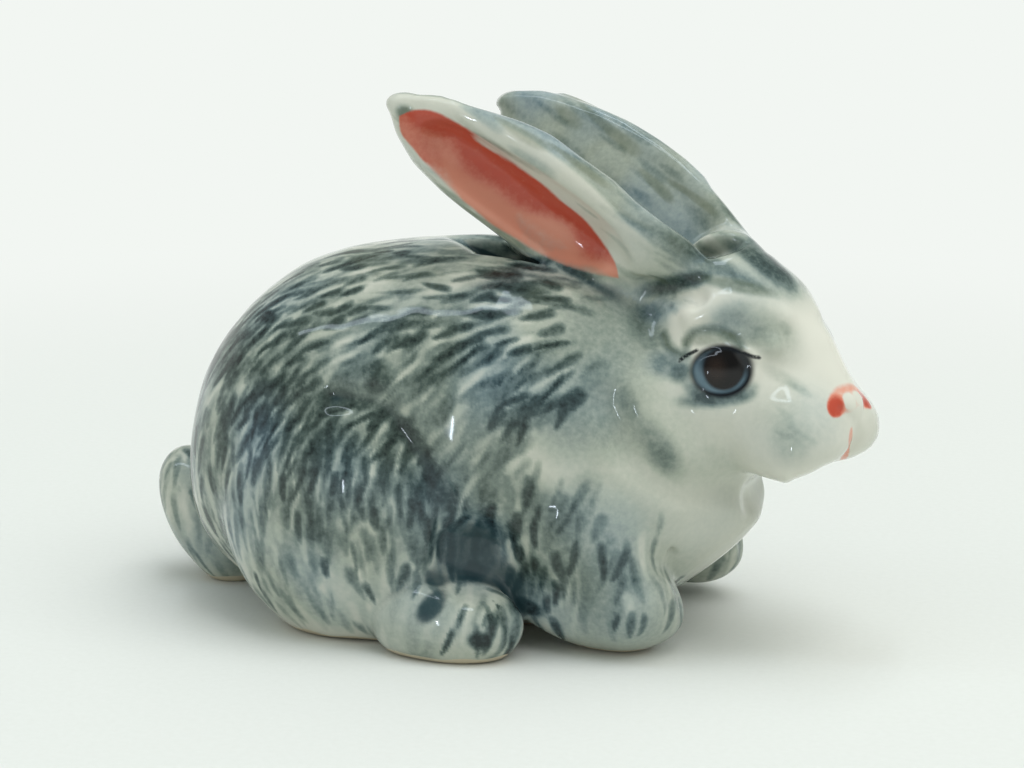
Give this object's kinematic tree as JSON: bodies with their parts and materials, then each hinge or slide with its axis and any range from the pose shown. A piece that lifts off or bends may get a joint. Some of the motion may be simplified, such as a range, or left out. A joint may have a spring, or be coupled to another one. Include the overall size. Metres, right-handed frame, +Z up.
{
  "type": "ceramic rabbit figurine",
  "caption": "Free-standing glazed porcelain rabbit crouching with its ears swept back, made of a hollow body with head, ears, thighs, feet, forelegs and tail luted on.",
  "frame": {"origin": "middle of the footprint's bounding box, on the table", "axes": "+X from the tail to the nose, +Y to the rabbit's left, +Z up"},
  "size_m": [0.0529, 0.0286, 0.0365],
  "materials": {
    "porcelain_grey": "glossy clear glaze over grey-green brush strokes",
    "porcelain_white": "glossy clear glaze over off-white porcelain with a grey wash",
    "porcelain_ear": "glossy clear glaze, grey-green backs and coral-red cups"
  },
  "bodies": {
    "root": {"body": "porcelain_grey", "head": "porcelain_white", "ear_right": "porcelain_ear", "ear_left": "porcelain_ear", "thigh_right": "porcelain_grey", "thigh_left": "porcelain_grey", "hind_foot_right": "porcelain_grey", "hind_foot_left": "porcelain_grey", "foreleg_right": "porcelain_grey", "foreleg_left": "porcelain_grey", "tail": "porcelain_grey"}
  },
  "joints": []
}
